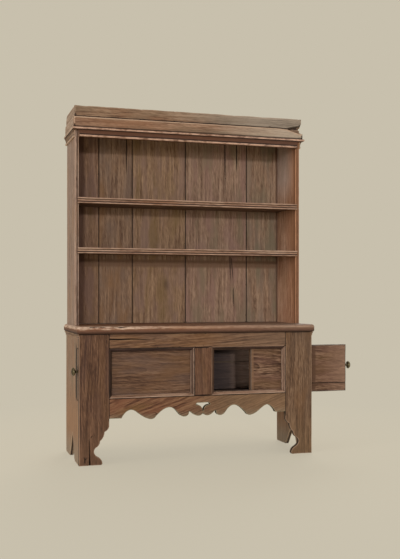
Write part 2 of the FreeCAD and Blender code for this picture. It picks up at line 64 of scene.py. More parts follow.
class Field:
    """A value that varies over a surface: a node's output socket, with the arithmetic that works on it."""

    def __init__(self, socket):
        self.socket = socket

    @staticmethod
    def of(tree, kind, output=None, settings=(), **inputs):
        """A new node of that kind; settings come first, then the values or links of its sockets."""
        node = tree.nodes.new("ShaderNode" + kind)
        for name, value in dict(settings).items():
            if name == "stops":
                ramp = node.color_ramp.elements
                while len(ramp) < len(value):
                    ramp.new(1.0)
                for stop, (place, colour) in zip(ramp, value):
                    stop.position, stop.color = place, colour
            else:
                setattr(node, name, value)
        sockets = {s.identifier: s for s in node.inputs}
        for name, value in inputs.items():
            if isinstance(value, Field):
                tree.links.new(value.socket, sockets[name])
            else:
                sockets[name].default_value = value
        outputs = {s.identifier: s for s in node.outputs}
        if isinstance(output, tuple):
            return [Field(outputs[name]) for name in output]
        return Field(outputs[output] if output else node.outputs[0] if outputs else None)

    def math(self, operation, first, second=0.0, clamp=False):
        return Field.of(self.socket.id_data, "Math", None,
                        {"operation": operation, "use_clamp": clamp}, Value=first, Value_001=second)

    def __add__(self, other):
        return self.math("ADD", self, other)

    def __sub__(self, other):
        return self.math("SUBTRACT", self, other)

    def __rsub__(self, other):
        return self.math("SUBTRACT", other, self)

    def __mul__(self, other):
        return self.math("MULTIPLY", self, other)

    def __pow__(self, other):
        return self.math("POWER", self, other)

    __radd__, __rmul__ = __add__, __mul__

    def held(self):
        """The value kept between 0 and 1."""
        return self.math("ADD", self, 0.0, clamp=True)

    def between(self, low, high):
        """0 below low, 1 above high and a straight ramp between them."""
        return self.math("MULTIPLY", self - low, 1 / (high - low), clamp=True)

    @staticmethod
    def mix(tree, share, colour, other, way="MIX"):
        """The first colour, with that share of the other."""
        return Field.of(tree, "Mix", "Result_Color", {"data_type": "RGBA", "blend_type": way},
                        Factor_Float=share, A_Color=colour, B_Color=other)

    def blend(self, colour, other):
        """The first colour, turning to the other as this value goes from 0 to 1."""
        return Field.mix(self.socket.id_data, self, colour, other)


def emptied(block):
    """The node tree of a new material or world, with no nodes in it."""
    block.use_nodes = True
    block.node_tree.nodes.clear()
    return block.node_tree


def in_sight(tree):
    """1 for a ray that comes from the eye, or by way of metal or glass, and 0 for one that only lights."""
    camera, glossy, clear = Field.of(tree, "LightPath",
                                     ("Is Camera Ray", "Is Glossy Ray", "Is Transmission Ray"))
    return (camera + glossy + clear).held()


scene = bpy.context.scene
scene.world = bpy.data.worlds.new("pale_ground")
tree = emptied(scene.world)
sky = Field.of(tree, "Background", Color=paint(*sky_colour), Strength=sky_strength)
backdrop = Field.of(tree, "Background", Color=paint(*ground_colour), Strength=1.0)
both = Field.of(tree, "MixShader", Fac=in_sight(tree), Shader=sky, Shader_001=backdrop)
Field.of(tree, "OutputWorld", Surface=both)

floor_finish = bpy.data.materials.new("pale_floor")
tree = emptied(floor_finish)
away = Field.of(tree, "VectorMath", "Value", {"operation": "LENGTH"},
                Vector=Field.of(tree, "TexCoord", "Object"))
lit = Field.of(tree, "BsdfDiffuse", Color=paint(*floor_colour))
even = Field.of(tree, "Emission", Color=paint(*ground_colour), Strength=1.0)
share = in_sight(tree) * (1 - shadow_share * (1 - away.between(*shadow_reach)))
mixed = Field.of(tree, "MixShader", Fac=share, Shader=lit, Shader_001=even)
Field.of(tree, "OutputMaterial", Surface=mixed)


def placed(name, data):
    """A new object in the scene."""
    thing = bpy.data.objects.new(name, data)
    scene.collection.objects.link(thing)
    return thing


floor_corners = [(x * ground_reach, y * ground_reach, 0.0) for x, y in ((-1, -1), (1, -1), (1, 1), (-1, 1))]
floor_mesh = bpy.data.meshes.new("floor")
floor_mesh.from_pydata(floor_corners, [], [(0, 1, 2, 3)])
floor_mesh.materials.append(floor_finish)
placed("floor", floor_mesh)


# The light: a low lamp in front, which throws short shadows under the shelves, and a weaker one further to
# the left; a soft one from the left, which picks out the ends; and one from behind for the back.
for lamp_name, toward, strength, softness in (("front_light", (0.13, 0.98, -0.122), 0.84, 3.5),
                                              ("fill_light", (0.42, 0.90, -0.02), 0.36, 8.0),
                                              ("left_light", (0.95, 0.27, -0.16), 0.80, 20.0),
                                              ("back_light", (-0.35, -0.75, -0.5), 1.0, 30.0)):
    lamp = bpy.data.lights.new(lamp_name, "SUN")
    lamp.energy, lamp.angle = strength, math.radians(softness)
    placed(lamp_name, lamp).rotation_euler = Vector(toward).to_track_quat("-Z", "Y").to_euler()


# The view: level, from the left of the middle, with the horizon a little under the picture's centre.
camera_place = (-1.435, -4.9465, 0.945)
camera_turn = -16.97
camera_lens = 54.93
picture_long_side = 559
horizon_below_centre = 15.8
camera = bpy.data.cameras.new("view")
camera.lens = camera_lens
camera.shift_y = horizon_below_centre / picture_long_side
scene.camera = placed("view", camera)
scene.camera.location = camera_place
scene.camera.rotation_euler = (math.radians(90), 0, math.radians(camera_turn))
scene.view_settings.view_transform = "Standard"


# The two front stiles: thick oak boards that run from the waist board to the floor and are sawn at the
# foot into a scrolled bracket. Hand planed, worn round at the arrises, split at the left foot.
mm = 0.001
X, Y, Z = 0, 1, 2
LOW, HIGH = -1, 1
hands = (("left", LOW), ("right", HIGH))


def others(*axes):
    """The axes that are left."""
    return [a for a in (X, Y, Z) if a not in axes]


def face_loops(node, axis, side, least=0.0004):
    """The closed outlines of a CAD piece's flat face, outer one first, as points of the other two axes.
    Those that enclose less than so many square metres are left out."""
    flush = 0.01 * mm
    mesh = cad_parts[node].data
    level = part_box(node)[0 if side == LOW else 1][axis]
    sides = set()
    for polygon in mesh.polygons:
        corners = [mesh.vertices[i].co for i in polygon.vertices]
        if all(abs(c[axis] - level) < flush for c in corners):
            flat = [tuple(round(c[a], 6) for a in others(axis)) for c in corners]
            sides.update(zip(flat, flat[1:] + flat[:1]))
    onward = {a: b for a, b in sides if (b, a) not in sides}
    loops = []
    while onward:
        here = next(iter(onward))
        loop = []
        while here in onward:
            loop.append(here)
            here = onward.pop(here)
        loops.append(np.array(loop))
    loops = [loop for loop in loops if abs(loop_area(loop)) > least]
    loops.sort(key=lambda loop: -abs(loop_area(loop)))
    return [loop[::-1] for loop in loops] if loop_area(loops[0]) < 0 else loops


def loop_area(loop):
    after = np.roll(loop, -1, axis=0)
    return float(np.sum(loop[:, 0] * after[:, 1] - after[:, 0] * loop[:, 1])) / 2


def divided(loop, step):
    """The loop without needless points, and with new ones so that none are further apart than step."""
    least_turn = 0.004
    before, after = np.roll(loop, 1, axis=0), np.roll(loop, -1, axis=0)
    turn = np.cross(loop - before, after - loop)
    reach = np.linalg.norm(loop - before, axis=1) * np.linalg.norm(after - loop, axis=1)
    loop = loop[np.abs(turn) > least_turn * reach]
    points = []
    for a, b in zip(loop, np.roll(loop, -1, axis=0)):
        count = max(1, math.ceil(np.linalg.norm(b - a) / step))
        points += [a + (b - a) * i / count for i in range(count)]
    return np.array(points)


def ripple(points, scale, seed):
    """Smooth noise over the points, 0 to 1."""
    return np.array([0.5 + 0.5 * noise.noise(Vector((*(p * scale), seed))[:3]) for p in points])


def inward_of(loop):
    """The unit directions from a loop's points into the wood."""
    along = np.roll(loop, -1, axis=0) - np.roll(loop, 1, axis=0)
    along /= np.linalg.norm(along, axis=1)[:, None]
    return np.stack([-along[:, 1], along[:, 0]], axis=1)


def to_outline(points, a, b):
    """The distance from each point to the nearest of the segments a-b, and which one that is."""
    run = b - a
    share = np.einsum("nmk,mk->nm", points[:, None] - a[None], run) / np.einsum("mk,mk->m", run, run)
    nearest = a[None] + np.clip(share, 0, 1)[..., None] * run[None]
    distance = np.linalg.norm(points[:, None] - nearest, axis=2)
    which = distance.argmin(axis=1)
    return distance[np.arange(len(points)), which], which


def inside(points, a, b):
    """Whether each point lies within the outline."""
    crosses = (a[None, :, 1] > points[:, None, 1]) != (b[None, :, 1] > points[:, None, 1])
    drop = np.where(b[:, 1] == a[:, 1], 1.0, b[:, 1] - a[:, 1])
    at = a[None, :, 0] + (points[:, None, 1] - a[None, :, 1]) * ((b[:, 0] - a[:, 0]) / drop)[None]
    return (crosses & (points[:, None, 0] < at)).sum(axis=1) % 2 == 1


def meshed(name, places, faces, smooth_under=38.0, **marks):
    """A new object from points and faces, with a named mark on each point for the finish to read."""
    mesh = bpy.data.meshes.new(name)
    mesh.from_pydata([tuple(p) for p in places], [], faces)
    for mark, values in marks.items():
        mesh.attributes.new(mark, "FLOAT", "POINT").data.foreach_set("value", np.array(values, np.float32))
    work = bmesh.new()
    work.from_mesh(mesh)
    bmesh.ops.recalc_face_normals(work, faces=work.faces)
    work.to_mesh(mesh)
    work.free()
    mesh.polygons.foreach_set("use_smooth", [True] * len(mesh.polygons))
    mesh.set_sharp_from_angle(angle=math.radians(smooth_under))
    return placed(name, mesh)


def nowhere(u, v):
    return np.zeros(len(u), bool)


def everywhere(u, v):
    return np.ones(len(u), bool)


def cut_by(splits, a, b):
    """The straight cuts that the splits are made of, and rows of points across them within the outline."""
    row_step = 9 * mm
    cuts, rows = [], []
    for split in splits:
        for (u0, v0, *sizes), (u1, v1, *next_sizes) in zip(split, split[1:]):
            start, end = np.array([u0, v0]), np.array([u1, v1])
            half, depth, next_half, next_depth = [size * mm for size in (*sizes, *next_sizes)]
            cuts.append((start, end - start, half, next_half, depth, next_depth))
            run = end - start
            cross = np.array([-run[1], run[0]]) / np.linalg.norm(run)
            count = max(1, math.ceil(np.linalg.norm(run) / row_step))
            for i in range(count + 1):
                reach = half + (next_half - half) * i / count
                row = np.array([start + run * i / count + cross * reach * share
                                for share in (-1.4, -1, -0.5, 0, 0.5, 1, 1.4)])
                rows.append(row[inside(row, a, b)])
    return cuts, rows


def cracked(points, cuts, strength):
    """How deep the cuts lie at each point, and how dark they are there."""
    full_width = 1.5 * mm
    crack, mark = np.zeros(len(points)), np.zeros(len(points))
    for start, run, half, next_half, depth, next_depth in cuts:
        share = np.clip((points - start) @ run / (run @ run), 0, 1)
        gap = np.linalg.norm(points - start - share[:, None] * run, axis=1)
        width = half + (next_half - half) * share
        rise = np.clip(1 - gap / width, 0, 1)
        crack = np.maximum(crack, rise * (depth + (next_depth - depth) * share))
        mark = np.maximum(mark, strength * np.clip(2.5 * rise, 0, 1) * np.clip(width / full_width, 0.3, 1))
    return crack, mark


def sawn(name, loops, put, thick, arris=2.5 * mm, back_arris=None, ragged=0.8 * mm, dip=0.4 * mm,
         meets=nowhere, square=nowhere, bite=nowhere, cut_mark=0.0, splits=(), split_mark=1.0, uneven=1.0,
         rear_mark=1.0, seed=0.0, step=13 * mm, fade=6 * mm):
    """A board sawn to an outline. Put gives the place of a point of its face at a depth into the wood.
    The arrises are worn round, as unevenly as uneven says, but stay nearly square where square says so, and
    fade into the face. Ragged is how rough the outline is, bite how much more has gone from it at each
    place, and dip how far the face is out of true. Marked for the finish are the arrises: worn, or dark
    where meets says the board meets another, as joint dirt and, under an overhang, as painted shade; those
    of the rear by the rear mark, worn where it is positive and painted shade where it is negative; the
    sawn edge by the cut mark, dark as painted shade; and the splits by split_mark. Each split is a run of
    (across, along, half width, depth), the last two in millimetres."""
    outline_waves, nick_waves, arris_waves, side_waves, face_waves = 14.0, 45.0, 22.0, 30.0, 7.0
    square_share, least_nick = 0.12, 0.62
    inner_step, side_step, thin_board, wide_arris = 32 * mm, 11 * mm, 9 * mm, 6 * mm
    back_arris = arris if back_arris is None else back_arris
    widest = max(arris, back_arris)
    dense = [divided(loop, step) for loop in loops]
    shaped, starts = [], [0]
    for loop in dense:
        nicks = np.clip(ripple(loop, nick_waves, seed + 3) - least_nick, 0, 1)
        worn = ragged * (ripple(loop, outline_waves, seed) ** 2 + 2 * nicks)
        worn = np.where(square(*loop.T), 0.0, worn) + bite(*loop.T)
        shaped.append(loop + inward_of(loop) * worn[:, None])
        starts.append(starts[-1] + len(loop))
    a = np.concatenate(shaped)
    b = np.concatenate([np.roll(loop, -1, axis=0) for loop in shaped])
    inward = np.concatenate([inward_of(loop) for loop in shaped])
    eased = np.where(square(*((a + b) / 2).T), square_share, 1.0)

    def arris_at(points, size, which):
        return size * eased[which] * (1 + uneven * (ripple(points, arris_waves, seed + 7) - 0.5))

    own = arris_at(a, widest, np.arange(len(a)))
    degrees = (30, 60, 90) if widest < wide_arris else (18, 36, 54, 72, 90)
    extra = []
    for offset in [own * (1 - math.cos(math.radians(d))) for d in degrees] + [own + fade]:
        moved = a + inward * offset[:, None]
        distance, _ = to_outline(moved, a, b)
        extra.append(moved[inside(moved, a, b) & (distance > 0.93 * offset)])
    low, high = a.min(axis=0), a.max(axis=0)
    counts = np.maximum(1, np.round((high - low) / inner_step)).astype(int)
    random = np.random.default_rng(int(seed * 10) + 1)
    grid = np.array([(i + 0.5, j + 0.5) for i in range(counts[0]) for j in range(counts[1])])
    grid = low + (grid + random.uniform(-0.25, 0.25, grid.shape)) / counts * (high - low)
    distance, _ = to_outline(grid, a, b)
    extra.append(grid[inside(grid, a, b) & (distance > 1.5 * widest + fade * 1.3)])
    cuts, rows = cut_by(splits, a, b)

    edges = [(start + i, start + (i + 1) % (end - start)) for start, end in zip(starts, starts[1:])
             for i in range(end - start)]
    points, _, faces, sources, _, _ = geometry.delaunay_2d_cdt(
        [Vector(p) for p in np.concatenate([a, *extra, *rows])], edges, [], 0, 1e-7, True)
    points = np.array([tuple(p) for p in points])
    centres = np.array([points[list(face)].mean(axis=0) for face in faces])
    faces = [tuple(face) for face, keep in zip(faces, inside(centres, a, b)) if keep]
    place_of = {i: j for j, group in enumerate(sources) for i in group if i < len(a)}

    distance, which = to_outline(points, a, b)
    middle = np.concatenate([(loop + np.roll(loop, -1, axis=0)) / 2 for loop in dense])
    sign = np.where(meets(*middle.T), -1.0, 1.0)[which]
    crack, crack_mark = cracked(points, cuts, split_mark)
    plane = dip * ripple(points, face_waves, seed + 11)

    def face_depth(size):
        if size <= 0:
            return np.zeros(len(points))
        worn = arris_at(points, size, which)
        within = np.clip(worn - distance, 0, None)
        return worn - np.sqrt(np.clip(worn ** 2 - within ** 2, 0, None)) + plane

    front, rear = face_depth(arris) + crack, thick - face_depth(back_arris)
    mark = sign * np.clip(1 - (distance - arris_at(points, widest, which)) / fade, 0, 1)
    total = len(points)
    places = list(put(*points.T, front)) + list(put(*points.T, rear))
    edge_marks, split_marks = list(mark) + list(mark * rear_mark), list(crack_mark) + [0.0] * total
    solid = faces + [tuple(total + i for i in reversed(face)) for face in faces]
    row_count = max(1, round(thick / side_step))
    for start, end in zip(starts, starts[1:]):
        ring = [place_of[i] for i in range(start, end)]
        last = ring
        for row in range(1, row_count + 1):
            share = (row / (row_count + 1)) ** 1.6
            here = list(range(len(places), len(places) + len(ring)))
            rough = ragged * 0.5 * ripple(a[start:end], side_waves, seed + row)
            flat = points[ring] + inward[start:end] * rough[:, None]
            places += list(put(*flat.T, front[ring] + (rear[ring] - front[ring]) * share))
            edge_marks += [cut_mark if thick > thin_board else m for m in mark[ring]]
            split_marks += list(crack_mark[ring])
            solid += quads(last, here)
            last = here
        solid += quads(last, [total + i for i in ring])
    return meshed(name, places, solid, edge=edge_marks, split=split_marks)


def quads(one, two):
    """The faces of the band between two rings of points."""
    count = len(one)
    return [(one[i], one[(i + 1) % count], two[(i + 1) % count], two[i]) for i in range(count)]


def facing(axis, level, side):
    """Put, for a board whose show face lies at that level and looks to that side of the axis."""
    def put(u, v, deep):
        places = np.empty((len(u), 3))
        places[:, others(axis)] = np.stack([u, v], axis=1)
        places[:, axis] = level - side * deep
        return places

    return put


def board(node, axis, side, name=None, **shape):
    """The worn board that stands for a flat CAD piece, sawn to its outline."""
    low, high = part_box(node)
    level = (low if side == LOW else high)[axis]
    thick = shape.pop("thick", high[axis] - low[axis])
    return sawn(name or "worn_" + node, face_loops(node, axis, side), facing(axis, level, side), thick,
                **shape)


def surfaced(tree, colour, roughness, height, strength, distance, **more):
    """Ends a material with a surface of that colour and roughness, and a relief by height."""
    bump = Field.of(tree, "Bump", "Normal", Height=height, Strength=strength, Distance=distance)
    surface = Field.of(tree, "BsdfPrincipled", "BSDF",
                       **{"Base Color": colour, "Roughness": roughness, "Normal": bump, **more})
    Field.of(tree, "OutputMaterial", Surface=surface)


def old_wood(name, along, deep, dark, middle, light, worn=(168, 138, 114), tint=(112, 92, 84),
             cast=(118, 88, 58), turns=(), bands=(), marks_end=None, heart=(0.0, 0.07), rings=75.0,
             lean=0.03, sway=0.011, curl=0.0, slant=0.0, knots=(), figure=0.22, streaks=0.9, flecks=1.0,
             blotch=0.5, wear=0.85, patchy=0.0, unworn=None, gloss=0.66, seed=0.0):
    """Old waxed oak, its grain along one axis and its depth along another.
    Dark, middle and light are the streaks' colours, worn is that of rubbed arrises, and tint and cast are
    those of the patches. Each of turns is (axis, from, to, colour), a colour that the board goes over to
    between those two places, and each of bands (axis, middle, half width, colour) is a strip of it; both
    reach no deeper than marks_end, if that is given. Heart is where the tree's middle lies, across and
    deep, and rings how many there are in a metre. Lean tips the grain in depth and slant, in degrees, in
    the face; sway bends it and curl ripples it. Each knot is (along, across, radius). Figure, streaks,
    flecks and blotch say how strongly rings, streaks, flecks and patches show. Wear is how bare the arrises
    are rubbed, patchy how unevenly, and unworn (axis, from, to), between which the rubbing dies away."""
    finish = bpy.data.materials.new(name)
    tree = emptied(finish)
    axes = Field.of(tree, "SeparateXYZ", ("X", "Y", "Z"),
                    Vector=Field.of(tree, "TexCoord", "Object"))
    length_place, width_place, d = axes[along], axes[others(along, deep)[0]], axes[deep]
    s, t = length_place, width_place
    if slant:
        cosine, sine = math.cos(math.radians(slant)), math.sin(math.radians(slant))
        s, t = s * cosine + t * sine, t * cosine - s * sine

    def shade(share):
        """The dark streaks' colour, darker by that share."""
        return paint(*(c * share for c in dark))

    def clouds(x, y, z, detail, output="Fac", roughness=0.5):
        """Noise, one cloud to a unit of each place."""
        place = Field.of(tree, "CombineXYZ", X=x, Y=y, Z=z)
        return Field.of(tree, "TexNoise", output, Vector=place, Scale=1.0, Detail=detail,
                        Roughness=roughness)

    def two_clouds(*place, detail):
        return Field.of(tree, "SeparateColor", ("Red", "Green"), Color=clouds(*place, detail, "Color"))

    bend_t, bend_d = two_clouds(s * 2.1 + seed * 7.31, t * 5.0 + seed, d * 5.0, detail=2.0)
    cool, warm = two_clouds(s * 3.4 + seed * 2.3, t * 13.0 + seed, d * 13.0, detail=3.0)
    t_bent = t + (bend_t - 0.5) * (2 * sway)
    d_bent = d + (bend_d - 0.5) * (2 * sway)
    if curl:
        t_bent = t_bent + (clouds(s * 16.0 + seed, t * 13.0, d, 1.0) - 0.5) * curl

    def grain(length, width, detail, shift, roughness=0.55):
        """Noise drawn out along the bent grain."""
        return clouds(s * length + shift, t_bent * width, d_bent * width, detail, roughness=roughness)

    t_heart, d_heart = t_bent - heart[0], d_bent - heart[1] + s * lean
    count = (t_heart * t_heart + d_heart * d_heart) ** 0.5 * rings + bend_t * 1.6
    knot_marks = []
    for knot_s, knot_t, knot_radius in knots:
        off_s, off_t = (length_place - knot_s) * 0.55, width_place - knot_t
        spread = (off_s * off_s + off_t * off_t) ** 0.5
        knot_marks.append(1 - spread.between(knot_radius * 0.3, knot_radius))
        count = count + (1 - spread.between(0.0, knot_radius * 3.5)) ** 2.0 * 2.4
    late = count.math("FRACT", count) ** 2.2

    broad = grain(3.2, 70.0, 3.0, seed * 3.1)
    fine = grain(9.0, 260.0, 3.0, seed * 5.7, 0.65)
    pores = grain(26.0, 900.0, 1.0, seed * 1.9).between(0.60, 0.70)
    fleck = clouds(s * 26.0 + seed, (t + s * 0.10) * 190.0, d * 190.0, 2.0)
    tone = (0.5 + (broad - 0.5) * (1.7 * streaks) + (0.42 - late) * figure + (fine - 0.5) * (1.2 * streaks)
            + (fleck - 0.5) * flecks).held()
    stops = [(0.12, paint(*dark)), (0.5, paint(*middle)), (0.88, paint(*light))]
    colour = Field.of(tree, "ValToRGB", "Color", {"stops": stops}, Fac=tone)
    colour = (cool.between(0.46, 0.62) * blotch).blend(colour, paint(*tint))
    colour = (warm.between(0.50, 0.66) * blotch).blend(colour, paint(*cast))
    face_only = 1 if marks_end is None else 1 - d.between(marks_end - 1 * mm, marks_end + 1 * mm)
    for axis, begin, finished, turned in turns:
        go = (axes[axis] + (broad + fine - 1) * ((finished - begin) * 0.5)).between(begin, finished)
        hued = Field.mix(tree, 1.0, colour, paint(*turned), "COLOR")
        colour = (go * face_only).blend(colour, Field.mix(tree, 0.35, hued, paint(*turned)))
    for axis, place, half, banded in bands:
        off = axes[axis] - place
        strip = 1 - (off * off).between((half * 0.6) ** 2, (half * 1.2) ** 2)
        colour = (strip * (0.5 + broad * 0.6) * face_only).blend(colour, paint(*banded))
    for near in knot_marks:
        colour = (near * (fine - 0.05)).held().blend(colour, shade(0.6))

    edge, split = [Field.of(tree, "Attribute", "Fac", {"attribute_name": mark})
                   for mark in ("edge", "split")]
    rubbed = (edge.between(0.25, 1.0) * (0.35 + (broad + fine - 0.6) * 1.6)).held()
    if patchy:
        patches = clouds(s * 31.0 + seed, t * 60.0, d * 60.0, 4.0)
        rubbed = rubbed * (1 - patchy + patches.between(0.36, 0.60) * (1.4 * patchy))
    if unworn:
        axis, begin, finished = unworn
        rubbed = rubbed * (1 - axes[axis].between(begin, finished) * 0.85)
    # Negative marks darken the wood: dirt at the joints, and painted shade under overhangs, in creases, on
    # sawn edges and on shaded rear arrises.
    dirt_and_painted_shade = (edge * -0.95).between(0.1, 0.75) * 0.9
    colour = (rubbed * wear).blend(colour, paint(*worn))
    for share, darkness in ((pores * 0.35, 0.55), (dirt_and_painted_shade, 0.5), (split.held(), 0.35)):
        colour = share.blend(colour, shade(darkness))

    surfaced(tree, colour, gloss + (0.5 - fine) * 0.25 + pores * 0.1,
             broad * 0.5 + fine * 0.35 - pores * 0.5 - late * 0.15, strength=0.55, distance=0.6 * mm,
             **{"Specular IOR Level": 0.22})
    return finish


def fit(piece, finish, node, body="case"):
    """Gives a piece its finish and the body that it moves with, and hides the CAD piece that it stands for.
    """
    piece.data.materials.append(finish)
    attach(piece, body)
    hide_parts(node)


def oak(piece, slot, node, along, deep, *tones, body="case", **looks):
    """Fits a piece with a finish of old oak that is its own."""
    fit(piece, old_wood(node + "_oak", along, deep, *tones, **looks), node, body)


near_line = 1.5 * mm
foot_top = 0.24
stile_low, stile_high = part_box("front_stile_left")
stile_inner = -stile_high[X]
opening_low, opening_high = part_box("opening_moulding_left")
waist_shade = opening_high[Z] + 0.08
foot_cracks = ([(-0.6385, 0.0010, 6.0, 9), (-0.6400, 0.032, 4.6, 8), (-0.6395, 0.088, 3.4, 6),
                (-0.6410, 0.150, 1.0, 0)],
               [(-0.6660, 0.0270, 3.2, 7), (-0.6655, 0.0320, 3.2, 7)],
               [(-0.6295, 0.158, 2.4, 5), (-0.6290, 0.162, 2.4, 5)])
stiles = {
    "left": dict(dark=(54, 34, 24), middle=(89, 60, 42), light=(122, 90, 68), tint=(80, 55, 46),
                 cast=(98, 68, 44), turns=((Z, 0.32, 0.05, (106, 76, 56)),), seed=1.3, heart=(-0.9, -0.10)),
    "right": dict(dark=(68, 47, 33), middle=(103, 77, 57), light=(134, 106, 83), tint=(100, 78, 62),
                  cast=(112, 80, 52), turns=((Z, 0.30, 0.05, (112, 86, 62)),), seed=2.6, heart=(0.3, -0.11)),
}
for hand, tones in stiles.items():
    node = "front_stile_" + hand
    inner = stile_inner if hand == "right" else -stile_inner

    def at_joint(u, v):
        return (abs(u - inner) < near_line) & (v > foot_top)

    # The arrises under the waist board and the sawn edges of the foot are painted dark as shade; those at the
    # rail joint are dark with dirt.
    stile = board(node, Y, LOW, arris=2.2 * mm, ragged=1.3 * mm, fade=4 * mm, seed=tones["seed"],
                  square=at_joint, meets=lambda u, v: at_joint(u, v) | (v > waist_shade), cut_mark=-0.8,
                  splits=foot_cracks if hand == "left" else ())
    oak(stile, "stile_wood", node, Z, Y, flecks=1.1, wear=0.55, **tones)


# The rails and the muntin between the stiles: a plain top rail, a skirt sawn along its lower edge into
# waves and a pair of scrolls with a pierced hole above them, and the muntin that parts the two openings.
# All are tenoned, and locked with pegs that stand a little proud.
frame_front = stile_low[Y]
rail_shade = 0.72
rail_rubbed = (0.08, 0.52)
muntin_rubbed = 0.06
rail_crack = [(-0.524, 0.6990, 4.6, 5), (-0.470, 0.6975, 5.0, 5), (-0.400, 0.6990, 4.0, 4),
              (-0.330, 0.6965, 2.6, 2), (-0.285, 0.6970, 0.8, 0)]
skirt_crack = [(-0.268, 0.280, 1.2, 3), (-0.259, 0.273, 1.8, 5), (-0.249, 0.265, 1.2, 3)]


def at_stiles(u, v):
    return abs(u) > stile_inner - near_line


rail = board("top_rail", Y, LOW, arris=2.0 * mm, fade=3 * mm, seed=3.4, square=at_stiles,
             meets=lambda u, v: (v > rail_shade) | (u < rail_rubbed[0]) | (u > rail_rubbed[1]),
             splits=(rail_crack,))
oak(rail, "frame_wood", "top_rail", X, Y, (70, 46, 32), (107, 76, 54), (138, 106, 80), tint=(106, 80, 66),
    cast=(122, 86, 54), turns=((X, 0.0, 0.40, (112, 86, 67)),), heart=(0.72, -0.21), lean=-0.03, rings=85.0,
    sway=0.012, figure=0.35, slant=3.0, wear=0.45, seed=3.4)

# The skirt's sawn edges and rear arrises are painted dark as shade.
skirt = board("scroll_skirt", Y, LOW, arris=2.2 * mm, ragged=1.6 * mm, step=8 * mm, cut_mark=-1.0,
              rear_mark=-1.0, fade=3 * mm, seed=4.1, square=at_stiles,
              meets=lambda u, v: at_stiles(u, v) | (v > opening_low[Z] - near_line), splits=(skirt_crack,))
oak(skirt, "frame_wood", "scroll_skirt", X, Y, (68, 39, 26), (103, 67, 46), (134, 97, 70),
    worn=(134, 124, 98), tint=(116, 72, 50), cast=(112, 82, 48), blotch=0.6,
    turns=((X, -0.15, 0.15, (134, 103, 76)), (Z, 0.285, 0.240, (134, 114, 92))), heart=(0.45, -0.19),
    lean=0.05, rings=80.0, sway=0.014, figure=0.30, slant=20.0, flecks=1.1, wear=0.8, seed=4.1)

muntin = board("centre_muntin", Y, LOW, arris=2.0 * mm, fade=4 * mm, seed=5.2,
               meets=lambda u, v: u < muntin_rubbed)
oak(muntin, "frame_wood", "centre_muntin", Z, Y, (66, 40, 27), (94, 63, 45), (122, 88, 65), tint=(88, 64, 50),
    cast=(106, 74, 46), wear=0.35, heart=(0.4, -0.14), rings=60.0, seed=5.2)


def stacked(first, count, rows):
    """The faces of a closed body of rows of points, with count points to a row, numbered from first on."""
    rings = [list(range(first + row * count, first + (row + 1) * count)) for row in range(rows)]
    bands = [face for one, two in zip(rings, rings[1:]) for face in quads(one, two)]
    return bands + [tuple(rings[0]), tuple(rings[-1])]


def add_turned(places, faces, centre, axis, rows, sides, start=0.0, uneven=lambda i: 1.0):
    """Adds a body turned about an axis through the centre, from rows of (place on the axis, radius). Start
    is the angle of its first side, and uneven gives how far out each side lies."""
    across, up = others(axis)
    faces += stacked(len(places), sides, len(rows))
    for along, radius in rows:
        for i in range(sides):
            angle, size = 2 * math.pi * i / sides + start, radius * uneven(i)
            place = list(centre)
            place[axis] += along
            place[across] += size * math.cos(angle)
            place[up] += size * math.sin(angle)
            places.append(place)


peg_radius, peg_proud, peg_drop, peg_sides = 3.9 * mm, 0.9 * mm, 6.0 * mm, 9
peg_inset, peg_levels, muntin_levels = 20 * mm, (0.3010, 0.3330, 0.6746, 0.6994), (0.6570, 0.3560)
peg_rows = ((peg_drop, peg_radius), (-peg_proud * 0.3, peg_radius), (-peg_proud, peg_radius * 0.72))
muntin_low, muntin_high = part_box("centre_muntin")
muntin_middle = (muntin_low[X] + muntin_high[X]) / 2
peg_places = [(side * (stile_inner + peg_inset), z) for side in (LOW, HIGH) for z in peg_levels]
peg_places += [(muntin_middle, z) for z in muntin_levels]
places, faces = [], []
for number, (x, z) in enumerate(peg_places):
    add_turned(places, faces, (x, frame_front, z), Y, peg_rows, peg_sides, number,
               lambda i: 0.9 + 0.1 * math.sin(3.1 * i + 2 * number))
pegs = meshed("worn_frame_pegs", places, faces)
oak(pegs, "frame_wood", "frame_pegs", Y, Z, (60, 40, 28), (94, 66, 48), (122, 92, 68), seed=6.3)


# The strips planted round each opening. Each is mitred at its ends and falls in a hollow from a small flat
# to the sight edge. The top and left-hand ones are painted dark as shade and the lower and right-hand ones
# pale as lit, and the pale rubbing on their arrises is partly wear and partly painted highlight.
strip_width, strip_depth = 17 * mm, 27 * mm
strip_quirk, strip_flat, strip_fall = 1.5 * mm, 3 * mm, 11 * mm


def eased(section, size):
    """A moulding's section with its sharp corners worn round, and with points near every corner."""
    straight_on, sharp = 0.9999, 0.8
    guard, longest = 5 * mm, 20 * mm
    section = section if loop_area(section) > 0 else section[::-1]
    points = []
    for before, here, after in zip(np.roll(section, 1, axis=0), section, np.roll(section, -1, axis=0)):
        come, go = here - before, after - here
        reach = min(size, 0.3 * np.linalg.norm(come), 0.3 * np.linalg.norm(go))
        come, go = come / np.linalg.norm(come), go / np.linalg.norm(go)
        if come @ go < sharp and come[0] * go[1] - come[1] * go[0] > 0:
            points += [here - come * reach, here - come * reach * 0.3 + go * reach * 0.3, here + go * reach]
        elif come @ go < straight_on:
            points.append(here)
    dense = []
    for a, b in zip(points, points[1:] + points[:1]):
        length = np.linalg.norm(b - a)
        dense.append(a)
        if length > 2.6 * guard:
            start, end = a + (b - a) * guard / length, b - (b - a) * guard / length
            count = max(1, math.ceil((length - 2 * guard) / longest))
            dense += [start + (end - start) * i / count for i in range(count + 1)]
    return np.array(dense)


